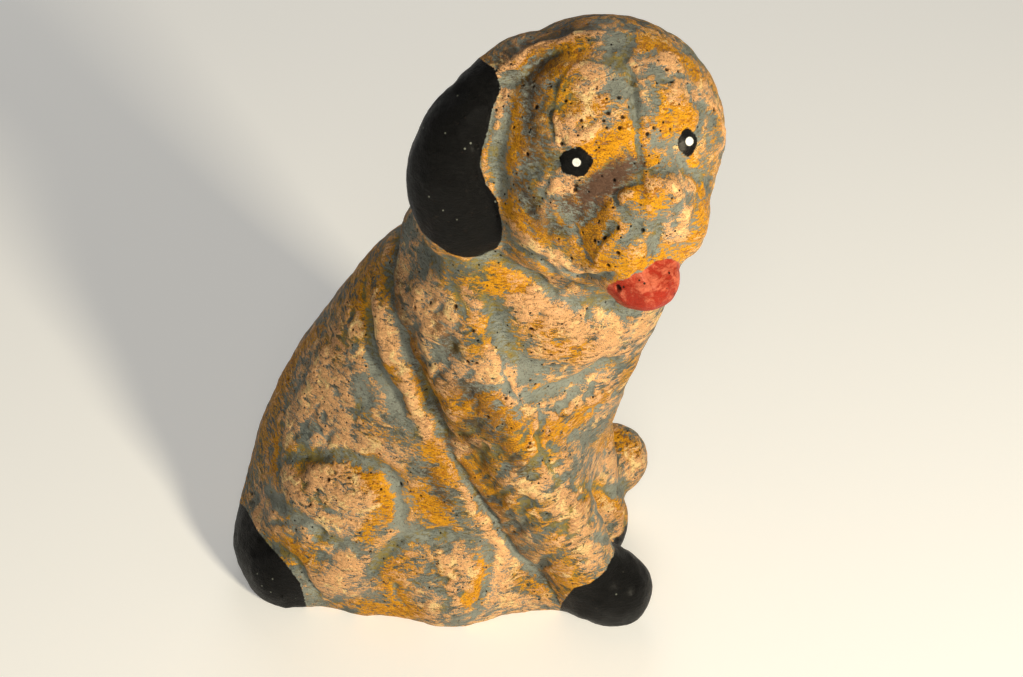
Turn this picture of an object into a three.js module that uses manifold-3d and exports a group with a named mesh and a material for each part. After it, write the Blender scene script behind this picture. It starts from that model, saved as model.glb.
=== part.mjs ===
// A seated puppy, cast in one piece as a garden figure, its head turned to its right and its tongue out.
// Millimetres, +Z up. The body faces -Y, its right side is -X, and the origin is a point of its flat
// underside, below the middle of the body.
import * as THREE from "three";
import { mergeVertices } from "three/addons/utils/BufferGeometryUtils.js";
import Module from "manifold-3d";

// Driving dimensions
const HEIGHT = 282; // crown above the ground
const SKULL = 47; // radius of the round skull
const TURN = -50; // the head's turn to its right, in degrees
const MIDDLE = 4; // the plane x = MIDDLE halves the body
const CELL = 6.4; // spacing of the grid that the skin is drawn on

// The form is a distance field: each shape gives how far a point lies outside it, and less than 0 inside.

const rotation = ([x, y, z]) =>
  new THREE.Matrix4().makeRotationFromEuler(
    new THREE.Euler(...[x, y, z].map(THREE.MathUtils.degToRad), "ZYX"),
  );

// A shape moved to a place and turned there, in degrees.
function placed(shape, at, turn = [0, 0, 0]) {
  const e = rotation(turn).elements;
  return (x, y, z) => {
    const dx = x - at[0];
    const dy = y - at[1];
    const dz = z - at[2];
    return shape(
      e[0] * dx + e[1] * dy + e[2] * dz,
      e[4] * dx + e[5] * dy + e[6] * dz,
      e[8] * dx + e[9] * dy + e[10] * dz,
    );
  };
}

// An ellipsoid.
function egg(at, [a, b, c], turn) {
  const shape = (x, y, z) => {
    const near = Math.hypot(x / a, y / b, z / c);
    const slope = Math.hypot(x / (a * a), y / (b * b), z / (c * c));
    return near < 1e-6 ? -Math.min(a, b, c) : (near * (near - 1)) / slope;
  };
  return placed(shape, at, turn);
}

// A round rod on a smooth curve through points, each [x, y, z, radius].
function limb(...points) {
  const path = new THREE.CatmullRomCurve3(points.map(([x, y, z]) => new THREE.Vector3(x, y, z)));
  const girth = new THREE.SplineCurve(points.map((point, i) => new THREE.Vector2(i, point[3])));
  const count = 4 * (points.length - 1);
  const knots = Array.from({ length: count + 1 }, (_, i) => {
    const { x, y, z } = path.getPoint(i / count);
    return [x, y, z, girth.getPoint(i / count).y];
  });
  const rods = knots.slice(1).map((end, i) => {
    const start = knots[i];
    const [dx, dy, dz, grow] = end.map((value, c) => value - start[c]);
    return { start, dx, dy, dz, grow, square: dx * dx + dy * dy + dz * dz };
  });
  return (x, y, z) => {
    let least = Infinity;
    for (const { start, dx, dy, dz, grow, square } of rods) {
      const px = x - start[0];
      const py = y - start[1];
      const pz = z - start[2];
      const t = Math.min(1, Math.max(0, (px * dx + py * dy + pz * dz) / square));
      const far = Math.hypot(px - t * dx, py - t * dy, pz - t * dz);
      least = Math.min(least, far - start[3] - t * grow);
    }
    return least;
  };
}

const mirrored = (shape) => (x, y, z) => shape(-x, y, z);

// Two distances joined with a fillet of about the given size.
function fillet(a, b, size) {
  const near = Math.max(size - Math.abs(a - b), 0) / size;
  return Math.min(a, b) - (near * near * size) / 4;
}
const joined =
  (size, ...shapes) =>
  (x, y, z) =>
    shapes.reduce((sum, shape) => fillet(sum, shape(x, y, z), size), Infinity);

// A smooth curve from one value to the next, with the steepness that it leaves and arrives at.
function eased(t, from, leave, to, arrive) {
  const stay = 2 * t ** 3 - 3 * t ** 2 + 1;
  return stay * from + (t ** 3 - 2 * t ** 2 + t) * leave + (1 - stay) * to + (t ** 3 - t ** 2) * arrive;
}

// An upright form with an oval section, from rows of [height, front, back, half width] going up.
// Between two rows each measure follows a smooth curve.
function lofted(middle, rows) {
  const [bottom] = rows[0];
  const [top] = rows[rows.length - 1];
  return (x, y, z) => {
    let i = 0;
    while (i < rows.length - 2 && z > rows[i + 1][0]) i++;
    const low = rows[i];
    const high = rows[i + 1];
    const before = rows[Math.max(i - 1, 0)];
    const after = rows[Math.min(i + 2, rows.length - 1)];
    const step = high[0] - low[0];
    const t = THREE.MathUtils.clamp((z - low[0]) / step, 0, 1);
    const [front, back, half] = [1, 2, 3].map((c) => {
      const leave = ((high[c] - before[c]) / (high[0] - before[0])) * step;
      const arrive = ((after[c] - low[c]) / (after[0] - low[0])) * step;
      return eased(t, low[c], leave, high[c], arrive);
    });
    const deep = (back - front) / 2;
    const around = Math.hypot((x - middle) / half, (y - (front + back) / 2) / deep) - 1;
    return Math.max(around * Math.min(half, deep), bottom - z, z - top);
  };
}

// Trunk, leaning back from the chest to the rump and running up into the head
const trunk = lofted(MIDDLE, [
  [-10, -40, 100, 50],
  [20, -44, 112, 54],
  [50, -50, 110, 53],
  [100, -60, 89, 48],
  [135, -70, 67, 46],
  [160, -78, 50, 44],
  [182, -80, 34, 42],
  [200, -74, 24, 37],
  [222, -64, 0, 26],
  [240, -56, -26, 12],
]);

// Hind legs: each a haunch beside the rump and a foot beside the belly, the left foot further forward
const haunch = egg([-30, 48, 38], [31, 42, 46], [4, 0, 0]);
const rightHindFoot = egg([-33, 3, 20], [21, 22, 24]);
const leftHindFoot = egg([58, -47, 30], [17, 19, 17]);

// Forelegs, straight down in front to paws set close together
const rightForeleg = limb(
  [-16, -12, 200, 20],
  [-27, -10, 166, 22],
  [-31, -28, 106, 20],
  [-22, -48, 48, 17],
  [-18, -58, 24, 15],
);
const leftForeleg = limb([24, -16, 196, 20], [34, -14, 156, 20], [34, -30, 90, 18], [26, -46, 26, 15]);
const rightPaw = egg([-15, -65, 17], [17, 21, 19]);
const leftPaw = egg([25, -47, 16], [14, 16, 18]);

// Low webs fill the corners between the hind feet and the forelegs, so that nothing thin stands free, and a
// hem along the ground joins the right haunch to the tail.
const rightWeb = limb([-24, -8, 12, 12], [-10, -44, 12, 14]);
const rightHem = limb([-36, 72, 9, 16], [-33, 32, 9, 14]);
const leftWeb = limb([55, -41, 10, 12], [28, -46, 8, 13]);

// The tail curls round to the right on the ground
const tail = limb([0, 92, 20, 20], [-28, 90, 14, 21], [-41, 79, 11, 20]);

const body = joined(
  10,
  trunk,
  haunch,
  placed(mirrored(haunch), [2 * MIDDLE, 0, 0]),
  rightHindFoot,
  leftHindFoot,
  rightForeleg,
  leftForeleg,
  rightPaw,
  leftPaw,
  rightWeb,
  leftWeb,
  rightHem,
  tail,
);

// Head, drawn facing -Y about the middle of the skull
const cranium = joined(
  12,
  egg([1, 0, 4], [SKULL - 1, SKULL, SKULL - 4]),
  egg([-22, -16, -20], [22, 24, 22]),
  egg([13, -16, -20], [19, 21, 20]),
  egg([0, -30, -8], [20, 22, 16]),
  egg([-2, -26, -32], [18, 18, 12]),
);
const rightLip = egg([-11, -44, -20], [14, 13, 14]);
const leftLip = egg([12, -42, -15], [12, 12, 14]);
const nose = egg([-3, -50, 1], [12, 7, 8]);
const tongue = egg([-5, -51, -32], [13, 12, 9], [14, 0, 0]);

// The ears hang from the sides of the crown, the right one out from the neck and the left one close to it
const rightEar = limb(
  [-28, 12, 30, 13],
  [-42, 12, 20, 13],
  [-50, 12, 6, 17],
  [-55, 11, -10, 18],
  [-52, 8, -28, 17],
);
const leftEar = egg([37, 20, -4], [9, 20, 32]);

const headForm = joined(8, cranium, rightLip, leftLip, nose, tongue, rightEar, leftEar);
const head = placed(headForm, [-8, -50, HEIGHT - SKULL], [0, 0, TURN]);

const puppy = joined(12, body, head);

// The skin: a net of four-sided cells around the field's zero, then pulled onto it.
const LOW = [-90, -125, -20];
const HIGH = [100, 135, 305];

// The eight corners of a cell, and its twelve edges as pairs of corners.
const corners = [0, 1].flatMap((c) => [0, 1].flatMap((b) => [0, 1].map((a) => [a, b, c])));
const edges = corners.flatMap((corner, p) =>
  corner.flatMap((side, axis) => (side ? [] : [[p, p | (1 << axis)]])),
);

// True where the corners of one kind all hang together along the edges.
function together(kind) {
  let reached = kind & -kind;
  for (let round = 0; round < 8; round++)
    for (const [p, q] of edges) {
      const pair = (1 << p) | (1 << q);
      if (reached & pair && (kind & pair) === pair) reached |= pair;
    }
  return reached === kind;
}

function skin(field) {
  const n = LOW.map((low, i) => Math.ceil((HIGH[i] - low) / CELL) + 1);
  const at = (i, j, k) => i + n[0] * (j + n[1] * k);
  const place = (i, j, k) => [LOW[0] + i * CELL, LOW[1] + j * CELL, LOW[2] + k * CELL];
  const values = new Float64Array(n[0] * n[1] * n[2]);
  for (let k = 0; k < n[2]; k++)
    for (let j = 0; j < n[1]; j++)
      for (let i = 0; i < n[0]; i++) values[at(i, j, k)] = field(...place(i, j, k));

  const cells = [];
  for (let k = 0; k < n[2] - 1; k++)
    for (let j = 0; j < n[1] - 1; j++)
      for (let i = 0; i < n[0] - 1; i++) cells.push([i, j, k]);
  const cornersOf = ([i, j, k]) => corners.map(([a, b, c]) => at(i + a, j + b, k + c));

  // Where the skin would pinch, the corner nearest to the form is taken into it.
  for (let pinched = true; pinched; ) {
    pinched = false;
    for (const cell of cells) {
      const ids = cornersOf(cell);
      const inside = ids.reduce((bits, id, p) => bits | (values[id] < 0 ? 1 << p : 0), 0);
      if (together(inside) && together(255 - inside)) continue;
      const open = ids.filter((id) => values[id] >= 0).sort((p, q) => values[p] - values[q]);
      values[open[0]] = -0.1;
      pinched = true;
    }
  }

  const points = [];
  const pointOf = new Map();
  for (const cell of cells) {
    const v = cornersOf(cell).map((id) => values[id]);
    const cross = edges.filter(([p, q]) => v[p] < 0 !== v[q] < 0);
    if (!cross.length) continue;
    const sum = [0, 0, 0];
    for (const [p, q] of cross) {
      const t = v[p] / (v[p] - v[q]);
      for (let axis = 0; axis < 3; axis++)
        sum[axis] += corners[p][axis] + t * (corners[q][axis] - corners[p][axis]);
    }
    pointOf.set(at(...cell), points.length);
    points.push(place(...cell.map((c, axis) => c + sum[axis] / cross.length)));
  }

  const faces = [];
  const step = [1, n[0], n[0] * n[1]];
  for (let k = 1; k < n[2] - 1; k++)
    for (let j = 1; j < n[1] - 1; j++)
      for (let i = 1; i < n[0] - 1; i++)
        for (let axis = 0; axis < 3; axis++) {
          const here = at(i, j, k);
          const inside = values[here] < 0;
          if (inside === values[here + step[axis]] < 0) continue;
          const [u, w] = [step[(axis + 1) % 3], step[(axis + 2) % 3]];
          const quad = [here - u - w, here - w, here, here - u].map((c) => pointOf.get(c));
          if (!inside) quad.reverse();
          faces.push(quad[0], quad[1], quad[2], quad[0], quad[2], quad[3]);
        }

  const h = 0.5;
  for (const p of points)
    for (let round = 0; round < 3; round++) {
      const [x, y, z] = p;
      const d = field(x, y, z);
      const slope = [
        field(x + h, y, z) - field(x - h, y, z),
        field(x, y + h, z) - field(x, y - h, z),
        field(x, y, z + h) - field(x, y, z - h),
      ].map((s) => s / (2 * h));
      const steep = slope[0] ** 2 + slope[1] ** 2 + slope[2] ** 2;
      for (let axis = 0; axis < 3; axis++) p[axis] -= (0.7 * d * slope[axis]) / steep;
    }

  return new THREE.BufferGeometry()
    .setAttribute("position", new THREE.Float32BufferAttribute(points.flat(), 3))
    .setIndex(faces);
}

// A closed geometry as a solid, for cutting.
const wasm = await Module();
wasm.setup();
function solid(geometry) {
  const bare = geometry.clone();
  bare.deleteAttribute("normal");
  bare.deleteAttribute("uv");
  const merged = mergeVertices(bare);
  return new wasm.Manifold(
    new wasm.Mesh({
      numProp: 3,
      vertProperties: merged.attributes.position.array,
      triVerts: new Uint32Array(merged.index.array),
    }),
  );
}

const below = new THREE.BoxGeometry(400, 400, 100).translate(0, 0, -50);
const cast = solid(skin(puppy)).subtract(solid(below)).getMesh();
const geometry = new THREE.BufferGeometry()
  .setAttribute("position", new THREE.BufferAttribute(cast.vertProperties, 3))
  .setIndex(new THREE.BufferAttribute(cast.triVerts, 1));

const paintedConcrete = new THREE.MeshStandardMaterial({ color: 0xb08a52, roughness: 0.5, metalness: 0 });
const mesh = new THREE.Mesh(geometry, paintedConcrete);
mesh.name = "seated_puppy";
const figure = new THREE.Group();
figure.add(mesh);
export default figure;
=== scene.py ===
# %% [markdown]
# # A painted concrete puppy
# The real thing is one casting: a garden figure of a seated puppy, poured in a mould, painted slate grey,
# dry-brushed with orange and then peach, and touched up in black on the ears, the paws and the tail.
# This lesson starts from the plain solid of the whole figure, remeshes a copy of it as fine as clay, and
# then works on that copy as a modeller does: folds, creases, fur and bubbles first, paint last.

# %% Load the solid
import math
from random import Random

import bpy
import numpy as np
from mathutils import Matrix, Vector, noise
from mathutils.bvhtree import BVHTree
from mathutils.kdtree import KDTree


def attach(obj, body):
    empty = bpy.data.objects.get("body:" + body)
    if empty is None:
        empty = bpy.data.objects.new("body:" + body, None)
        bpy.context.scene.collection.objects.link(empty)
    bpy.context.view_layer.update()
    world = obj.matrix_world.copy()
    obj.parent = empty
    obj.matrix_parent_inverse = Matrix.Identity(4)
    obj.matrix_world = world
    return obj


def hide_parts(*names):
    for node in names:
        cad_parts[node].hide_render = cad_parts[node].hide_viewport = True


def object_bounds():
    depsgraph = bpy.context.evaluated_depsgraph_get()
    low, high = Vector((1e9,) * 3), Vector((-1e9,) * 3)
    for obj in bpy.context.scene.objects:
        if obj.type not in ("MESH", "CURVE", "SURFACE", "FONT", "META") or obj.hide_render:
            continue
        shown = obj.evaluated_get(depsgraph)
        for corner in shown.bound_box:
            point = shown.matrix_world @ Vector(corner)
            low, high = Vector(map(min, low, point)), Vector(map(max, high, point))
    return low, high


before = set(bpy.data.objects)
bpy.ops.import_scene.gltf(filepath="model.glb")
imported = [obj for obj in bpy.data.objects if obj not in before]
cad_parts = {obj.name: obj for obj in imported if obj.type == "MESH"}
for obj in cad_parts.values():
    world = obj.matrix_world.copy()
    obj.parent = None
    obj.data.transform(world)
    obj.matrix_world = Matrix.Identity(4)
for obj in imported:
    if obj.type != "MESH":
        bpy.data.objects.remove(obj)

MM = 0.001
solid_low, solid_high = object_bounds()
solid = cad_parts["seated_puppy"]
scene = bpy.context.scene
print("solid", [round(side / MM) for side in solid_high - solid_low], "mm")

# %% [markdown]
# ## Camera
# The photo looks down at the puppy's right side from close by, so the paws are seen more from above than
# the head is. The camera is placed by azimuth, elevation and distance from a point on the body's axis.
# That point doesn't fall in the middle of the frame, so a small shift moves the picture instead of turning
# the camera.

# %% Camera
WIDTH, HEIGHT = 1023, 677  # the photo, in pixels
FOCAL = 1650  # focal length in pixels
AIM, AIM_PIXEL = Vector((0, 0, 130)), (480, 335)  # a point of the body, and where the photo shows it
AZIMUTH, ELEVATION, DISTANCE = math.radians(-72), math.radians(35), 700

back = Vector((
    math.sin(AZIMUTH) * math.cos(ELEVATION),
    -math.cos(AZIMUTH) * math.cos(ELEVATION),
    math.sin(ELEVATION),
))
right = Vector((math.cos(AZIMUTH), math.sin(AZIMUTH), 0))
up = back.cross(right)
eye_point = AIM + back * DISTANCE

lens = bpy.data.cameras.new("camera")
lens.sensor_width = 36
lens.lens = lens.sensor_width * FOCAL / WIDTH
lens.shift_x = (WIDTH / 2 - AIM_PIXEL[0]) / WIDTH
lens.shift_y = (AIM_PIXEL[1] - HEIGHT / 2) / WIDTH
camera = bpy.data.objects.new("camera", lens)
camera.matrix_world = Matrix.Translation(eye_point * MM) @ Matrix((right, up, back)).transposed().to_4x4()
scene.collection.objects.link(camera)
scene.camera = camera
print("lens", round(lens.lens, 1), "mm, at", [round(c) for c in eye_point], "mm")

# %% [markdown]
# ## From solid to clay
# The solid has flat facets about 6 mm wide. A copy of it is merged, rounded by one level of subdivision and
# remeshed with voxels, which gives an even skin of small squares that can be pushed about like clay. More
# levels of subdivision would also be fine enough, but their squares would be as uneven as the facets are.
# The tongue is a ball of its own first: the remesh welds it to the mouth, as the mould does.

# %% A copy, merged
VOXEL = 2.0  # width of a square of clay


def only(piece):
    """Selects one piece and nothing else."""
    bpy.ops.object.select_all(action="DESELECT")
    piece.select_set(True)
    bpy.context.view_layer.objects.active = piece


def applied(piece, kind, **settings):
    """Gives a piece a modifier and applies it."""
    modifier = piece.modifiers.new(kind.lower(), kind)
    for name, value in settings.items():
        setattr(modifier, name, value)
    only(piece)
    bpy.ops.object.modifier_apply(modifier=modifier.name)


clay = bpy.data.objects.new("puppy_casting", solid.data.copy())
scene.collection.objects.link(clay)
only(clay)
bpy.ops.object.mode_set(mode="EDIT")
bpy.ops.mesh.select_all(action="SELECT")
bpy.ops.mesh.remove_doubles(threshold=0.01 * MM)
bpy.ops.object.mode_set(mode="OBJECT")
applied(clay, "SUBSURF", levels=1, render_levels=1)
print("merged", len(clay.data.polygons), "faces")

# %% The tongue, welded on
HEAD_MIDDLE, HEAD_TURN = (-8, -50, 235), math.radians(-50)
HEAD = Matrix.Translation(HEAD_MIDDLE) @ Matrix.Rotation(HEAD_TURN, 4, "Z")
TONGUE_AT, TONGUE_SIZE = Vector((-5.2, -51.5, -29.8)), Vector((13.2, 12.5, 9.8))
TONGUE_TILT = math.radians(14)

bpy.ops.object.select_all(action="DESELECT")
bpy.ops.mesh.primitive_uv_sphere_add(segments=48, ring_count=24, radius=1)
tongue = bpy.context.object
tongue.matrix_world = (
    Matrix.Scale(MM, 4)
    @ HEAD
    @ Matrix.Translation(TONGUE_AT)
    @ Matrix.Rotation(TONGUE_TILT, 4, "X")
    @ Matrix.Diagonal((*TONGUE_SIZE, 1))
)
bpy.ops.object.transform_apply(location=True, rotation=True, scale=True)
only(clay)
tongue.select_set(True)
bpy.ops.object.join()
applied(clay, "REMESH", mode="VOXEL", voxel_size=VOXEL * MM, use_smooth_shade=True)
applied(clay, "SMOOTH", factor=0.5, iterations=5)
print("clay", len(clay.data.polygons), "faces")

# %% [markdown]
# ## Drawing on the clay
# Every mark starts as a line on the skin. Lines could be given by places in space, but a place on a round
# body is hard to guess, so they are given by pixels of the photo instead: each point is carried along its
# sight line from the camera to the clay, and a fold lands where the photo shows it. The side that the photo
# doesn't show gets mirror images, a little wider and plainer.

# %% Sight lines
def column(collection, name, size):
    """A property of every vertex, edge or face as one array."""
    values = np.empty(len(collection) * size, dtype=np.float64)
    collection.foreach_get(name, values)
    return values.reshape(-1, size)


BODY_MIDDLE = 4  # the plane x = BODY_MIDDLE halves the body
MIRROR_WIDER, MIRROR_SHALLOWER = 1.3, 0.5
skin = column(clay.data.vertices, "co", 3) / MM
tree = BVHTree.FromPolygons(
    [tuple(p) for p in skin], [tuple(f.vertices) for f in clay.data.polygons]
)


def sight(px, py):
    """Direction from the camera through a pixel of the photo."""
    x = (px - AIM_PIXEL[0]) / FOCAL
    y = (py - AIM_PIXEL[1]) / FOCAL
    return (right * x - up * y - back).normalized()


def on_skin(px, py):
    """Where the sight line of a pixel meets the skin, or the skin's nearest point if it misses."""
    hit = tree.ray_cast(eye_point, sight(px, py))[0]
    return hit or tree.find_nearest(eye_point + sight(px, py) * DISTANCE)[0]


def smooth_line(points, step=3):
    """A curve through all the points, with a corner about every 3 mm."""
    ends = [points[0], *points, points[-1]]
    line = []
    for a, b, c, d in zip(ends, ends[1:], ends[2:], ends[3:]):
        count = max(1, round((c - b).length / step))
        for t in (i / count for i in range(count)):
            bend = 2 * a - 5 * b + 4 * c - d
            twist = 3 * b - a - 3 * c + d
            line.append(b + 0.5 * ((c - a) * t + bend * t**2 + twist * t**3))
    return [*line, points[-1]]


def mirrored(points, part):
    """The points' mirror images on the other half of the head or of the body."""
    across = Matrix.Scale(-1, 4, (1, 0, 0))
    axis = HEAD if part == "head" else Matrix.Translation((BODY_MIDDLE, 0, 0))
    return [tree.find_nearest(axis @ across @ axis.inverted() @ point)[0] for point in points]


marks, drawn = [], []


def draw(pixels, width, depth, mirror=None):
    """A groove where depth is above 0 and a ridge where it is below, in millimetres."""
    points = [on_skin(*pixel) for pixel in pixels]
    drawn.extend(smooth_line(points))
    marks.append((smooth_line(points), width, depth))
    if mirror:
        line = smooth_line(mirrored(points, mirror))
        marks.append((line, MIRROR_WIDER * width, MIRROR_SHALLOWER * depth))


print("skin points", len(skin))

# %% [markdown]
# ## The head
# The face follows the photo: a crease between the brows, a curled nostril, two lips that meet under a
# short groove, a jaw line, and a ruff that stands up along the front of the near ear. Each fold has its
# pixels in the photo, then its half width and its depth or height in millimetres. The folds that run back
# round the head are repeated on its hidden side.

# %% Head folds
HEAD_GROOVES = {
    "brow crease": ([(630, 66), (634, 88), (637, 106), (637, 130), (638, 150), (643, 166)], 1.3, 3.2),
    "brow hollow": ([(614, 34), (614, 52), (624, 72), (635, 96)], 4.6, 1.7),
    "brow fork": ([(632, 32), (628, 48), (624, 60)], 2.2, 1.4),
    "brow side": ([(650, 66), (664, 78), (682, 74)], 2.6, 0.8),
    "below the crown fold": ([(498, 84), (522, 75), (542, 56), (562, 49)], 2.8, 2.4),
    "along the ruff": ([(512, 96), (500, 130), (496, 158), (499, 186), (508, 206)], 3.4, 2.3),
    "nostril curl": ([(640, 183), (628, 184), (619, 190), (616, 198), (620, 207), (629, 210)], 1.1, 2.2),
    "under the nostril": ([(624, 211), (632, 222), (642, 234)], 2.4, 1.2),
    "lip groove": ([(662, 214), (660, 230), (656, 246), (656, 260)], 2.4, 2.4),
    "lip edge": ([(576, 226), (581, 240), (589, 256), (603, 269)], 1.4, 1.0),
    "mouth": ([(562, 271), (580, 277), (600, 278), (622, 272)], 1.6, 2.6),
    "jaw upper": ([(506, 238), (524, 254), (546, 268), (575, 284), (602, 292)], 2.2, 2.0),
    "jaw middle": ([(521, 244), (551, 261), (568, 270)], 1.3, 0.9),
    "far nose side": ([(674, 200), (678, 214), (670, 228)], 2.4, 1.3),
    "under the far eye": ([(676, 156), (692, 167), (706, 182)], 2.6, 1.8),
    "temple": ([(574, 68), (560, 82), (553, 103), (552, 130), (558, 150)], 1.3, 0.6),
    "temple back": ([(538, 66), (528, 90), (524, 120), (530, 150)], 3.4, 0.7),
    "cheek": ([(546, 204), (552, 222), (566, 240)], 1.8, 0.6),
    "cheek back": ([(518, 190), (528, 206), (540, 222)], 2.6, 0.6),
    "cheek low": ([(520, 222), (540, 240), (560, 250)], 1.6, 0.9),
    "eye corner": ([(548, 156), (556, 160), (562, 162)], 1.6, 0.8),
    "bag": ([(546, 190), (560, 198), (576, 196), (590, 186)], 1.8, 0.4),
    "bridge": ([(604, 160), (612, 172), (618, 186)], 2.6, 1.0),
    "far bridge": ([(662, 156), (668, 168), (672, 180)], 2.4, 1.0),
    "tongue crack": ([(640, 268), (633, 276), (638, 284), (634, 290)], 0.7, 0.9),
    "ear joint": ([(499, 84), (489, 130), (480, 160), (486, 192), (501, 222)], 1.0, 1.0),
}
HEAD_RIDGES = {
    "crown fold": ([(497, 76), (524, 58), (546, 47), (575, 38), (600, 34)], 2.3, 3.0),
    "ruff": ([(505, 90), (494, 130), (484, 158), (490, 190), (503, 218)], 1.7, 1.1),
    "temple line": ([(578, 70), (565, 83), (557, 103), (556, 130), (562, 150)], 0.9, 0.9),
    "far rim": ([(700, 98), (718, 117), (722, 140), (714, 165)], 2.2, 1.2),
    "nostril wing": ([(634, 191), (629, 196), (633, 201)], 3.0, 2.4),
    "nose top": ([(638, 186), (660, 181), (686, 184)], 5.0, 1.8),
    "nose front": ([(642, 200), (660, 198), (680, 196)], 6.0, 1.6),
    "near lip": ([(606, 238), (624, 250), (648, 250)], 8.0, 2.4),
    "jowl": ([(594, 212), (608, 228), (624, 242)], 11.0, 2.0),
    "far lip": ([(682, 205), (687, 225), (683, 245)], 7.0, 1.6),
    "near brow": ([(560, 140), (576, 132), (598, 138)], 5.0, 1.5),
    "near forehead": ([(594, 62), (590, 88), (600, 116)], 11.0, 1.5),
    "far forehead": ([(664, 50), (676, 76), (664, 108)], 9.0, 2.0),
    "brow nub": ([(630, 80), (634, 88)], 1.6, 1.2),
    "far brow": ([(672, 122), (686, 118), (698, 124)], 4.4, 1.4),
    "under the eye": ([(548, 180), (562, 187), (578, 186)], 4.6, 1.4),
    "jaw roll": ([(520, 238), (548, 258), (584, 275)], 2.6, 0.9),
    "neck pinch": ([(500, 250), (528, 270), (560, 288)], 2.0, 0.9),
}
BOTH_SIDES = {"along the ruff", "jaw upper", "jaw middle", "temple back", "cheek back",
              "cheek low", "ear joint", "jaw roll"}
for name, (pixels, width, depth) in HEAD_GROOVES.items():
    draw(pixels, width, depth, "head" if name in BOTH_SIDES else None)
for name, (pixels, width, height) in HEAD_RIDGES.items():
    draw(pixels, width, -height, "head" if name in BOTH_SIDES else None)
print("head marks", len(HEAD_GROOVES) + len(HEAD_RIDGES))

# %% [markdown]
# ## The body
# Loose puppy skin hangs in long folds from the shoulder, and the haunch, the hind foot and the tail are
# set off by round valleys. The foreleg stands proud behind a sharp crease that runs down to the paw. The
# figure is alike on both sides, so every fold of the body is repeated on the hidden side.

# %% Body folds
BODY_GROOVES = {
    "behind the shoulder": ([(402, 216), (390, 245), (385, 272), (391, 296)], 4.2, 4.2),
    "shoulder": ([(389, 300), (398, 330), (411, 361), (424, 390), (438, 426), (452, 456)], 3.2, 4.2),
    "side fold": ([(363, 294), (366, 312), (366, 338), (377, 368), (393, 395), (405, 422)], 4.6, 3.8),
    "back fold": ([(357, 372), (363, 391), (369, 413)], 4.0, 1.0),
    "leg crease": ([(452, 458), (471, 491), (487, 514), (503, 537), (520, 559), (557, 602)], 1.9, 4.6),
    "chest valley": ([(486, 300), (500, 316), (507, 338), (519, 362), (532, 384)], 4.2, 4.4),
    "chest crack": ([(497, 346), (506, 366), (501, 374), (511, 391), (521, 404)], 1.3, 1.0),
    "leg front": ([(537, 403), (543, 424), (541, 446), (548, 463), (556, 476)], 1.6, 1.6),
    "chest fold": ([(530, 398), (554, 390), (578, 382), (604, 367), (624, 357)], 3.4, 3.4),
    "chest fold upper": ([(536, 368), (556, 374), (578, 366)], 3.4, 0.8),
    "neck roll": ([(497, 256), (541, 286), (575, 302), (606, 306), (640, 314)], 3.8, 3.6),
    "haunch top": (
        [(287, 457), (308, 457), (334, 455), (356, 459), (378, 468), (393, 483), (399, 500),
         (402, 520), (408, 532)], 4.2, 3.3),
    "haunch back": ([(279, 440), (277, 458), (278, 476)], 3.2, 1.8),
    "haunch hollow": ([(266, 488), (285, 510), (304, 522), (318, 525)], 3.6, 2.2),
    "haunch low hollow": ([(308, 540), (332, 541), (350, 548)], 4.6, 1.6),
    "haunch and tail": (
        [(256, 534), (270, 547), (290, 556), (304, 574), (313, 590), (323, 604)], 2.6, 2.6),
    "foot upper": ([(366, 578), (383, 561), (396, 548), (409, 540), (432, 537), (460, 535)], 4.0, 3.3),
    "foot front": ([(482, 536), (488, 556), (489, 576), (485, 598), (472, 615)], 4.0, 2.8),
    "foot toe": ([(391, 583), (397, 597), (408, 610)], 1.6, 1.2),
    "far foot": ([(590, 488), (608, 490), (628, 484)], 3.4, 2.6),
    "behind the ear": ([(420, 248), (440, 262), (470, 266), (498, 256)], 3.6, 2.6),
    "neck side": ([(450, 280), (455, 300), (470, 322)], 4.0, 1.2),
    "upper arm": ([(433, 352), (446, 350), (458, 345)], 5.0, 0.9),
}
BODY_RIDGES = {
    "side roll": ([(376, 290), (380, 326), (391, 360), (408, 396), (424, 430)], 5.0, 2.4),
    "shoulder blade": ([(418, 270), (422, 306), (434, 350), (452, 396), (472, 440)], 8.0, 3.4),
    "chest roll": ([(522, 284), (545, 322), (566, 346), (592, 344), (618, 330)], 9.0, 3.2),
    "chest low roll": ([(545, 410), (575, 405), (604, 388)], 8.0, 1.4),
    "haunch roll": ([(300, 480), (335, 478), (363, 491), (376, 512)], 9.0, 2.6),
    "haunch low roll": ([(300, 585), (330, 578), (362, 562)], 6.0, 1.4),
    "foot roll": ([(402, 590), (425, 570), (455, 560)], 9.0, 2.0),
    "leg roll": ([(496, 466), (530, 510), (564, 552)], 10.0, 1.8),
    "back roll": ([(330, 330), (318, 370), (300, 410)], 9.0, 1.2),
}
for pixels, width, depth in BODY_GROOVES.values():
    draw(pixels, width, depth, "body")
for pixels, width, height in BODY_RIDGES.values():
    draw(pixels, width, -height, "body")
print("body marks", len(BODY_GROOVES) + len(BODY_RIDGES))

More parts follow.
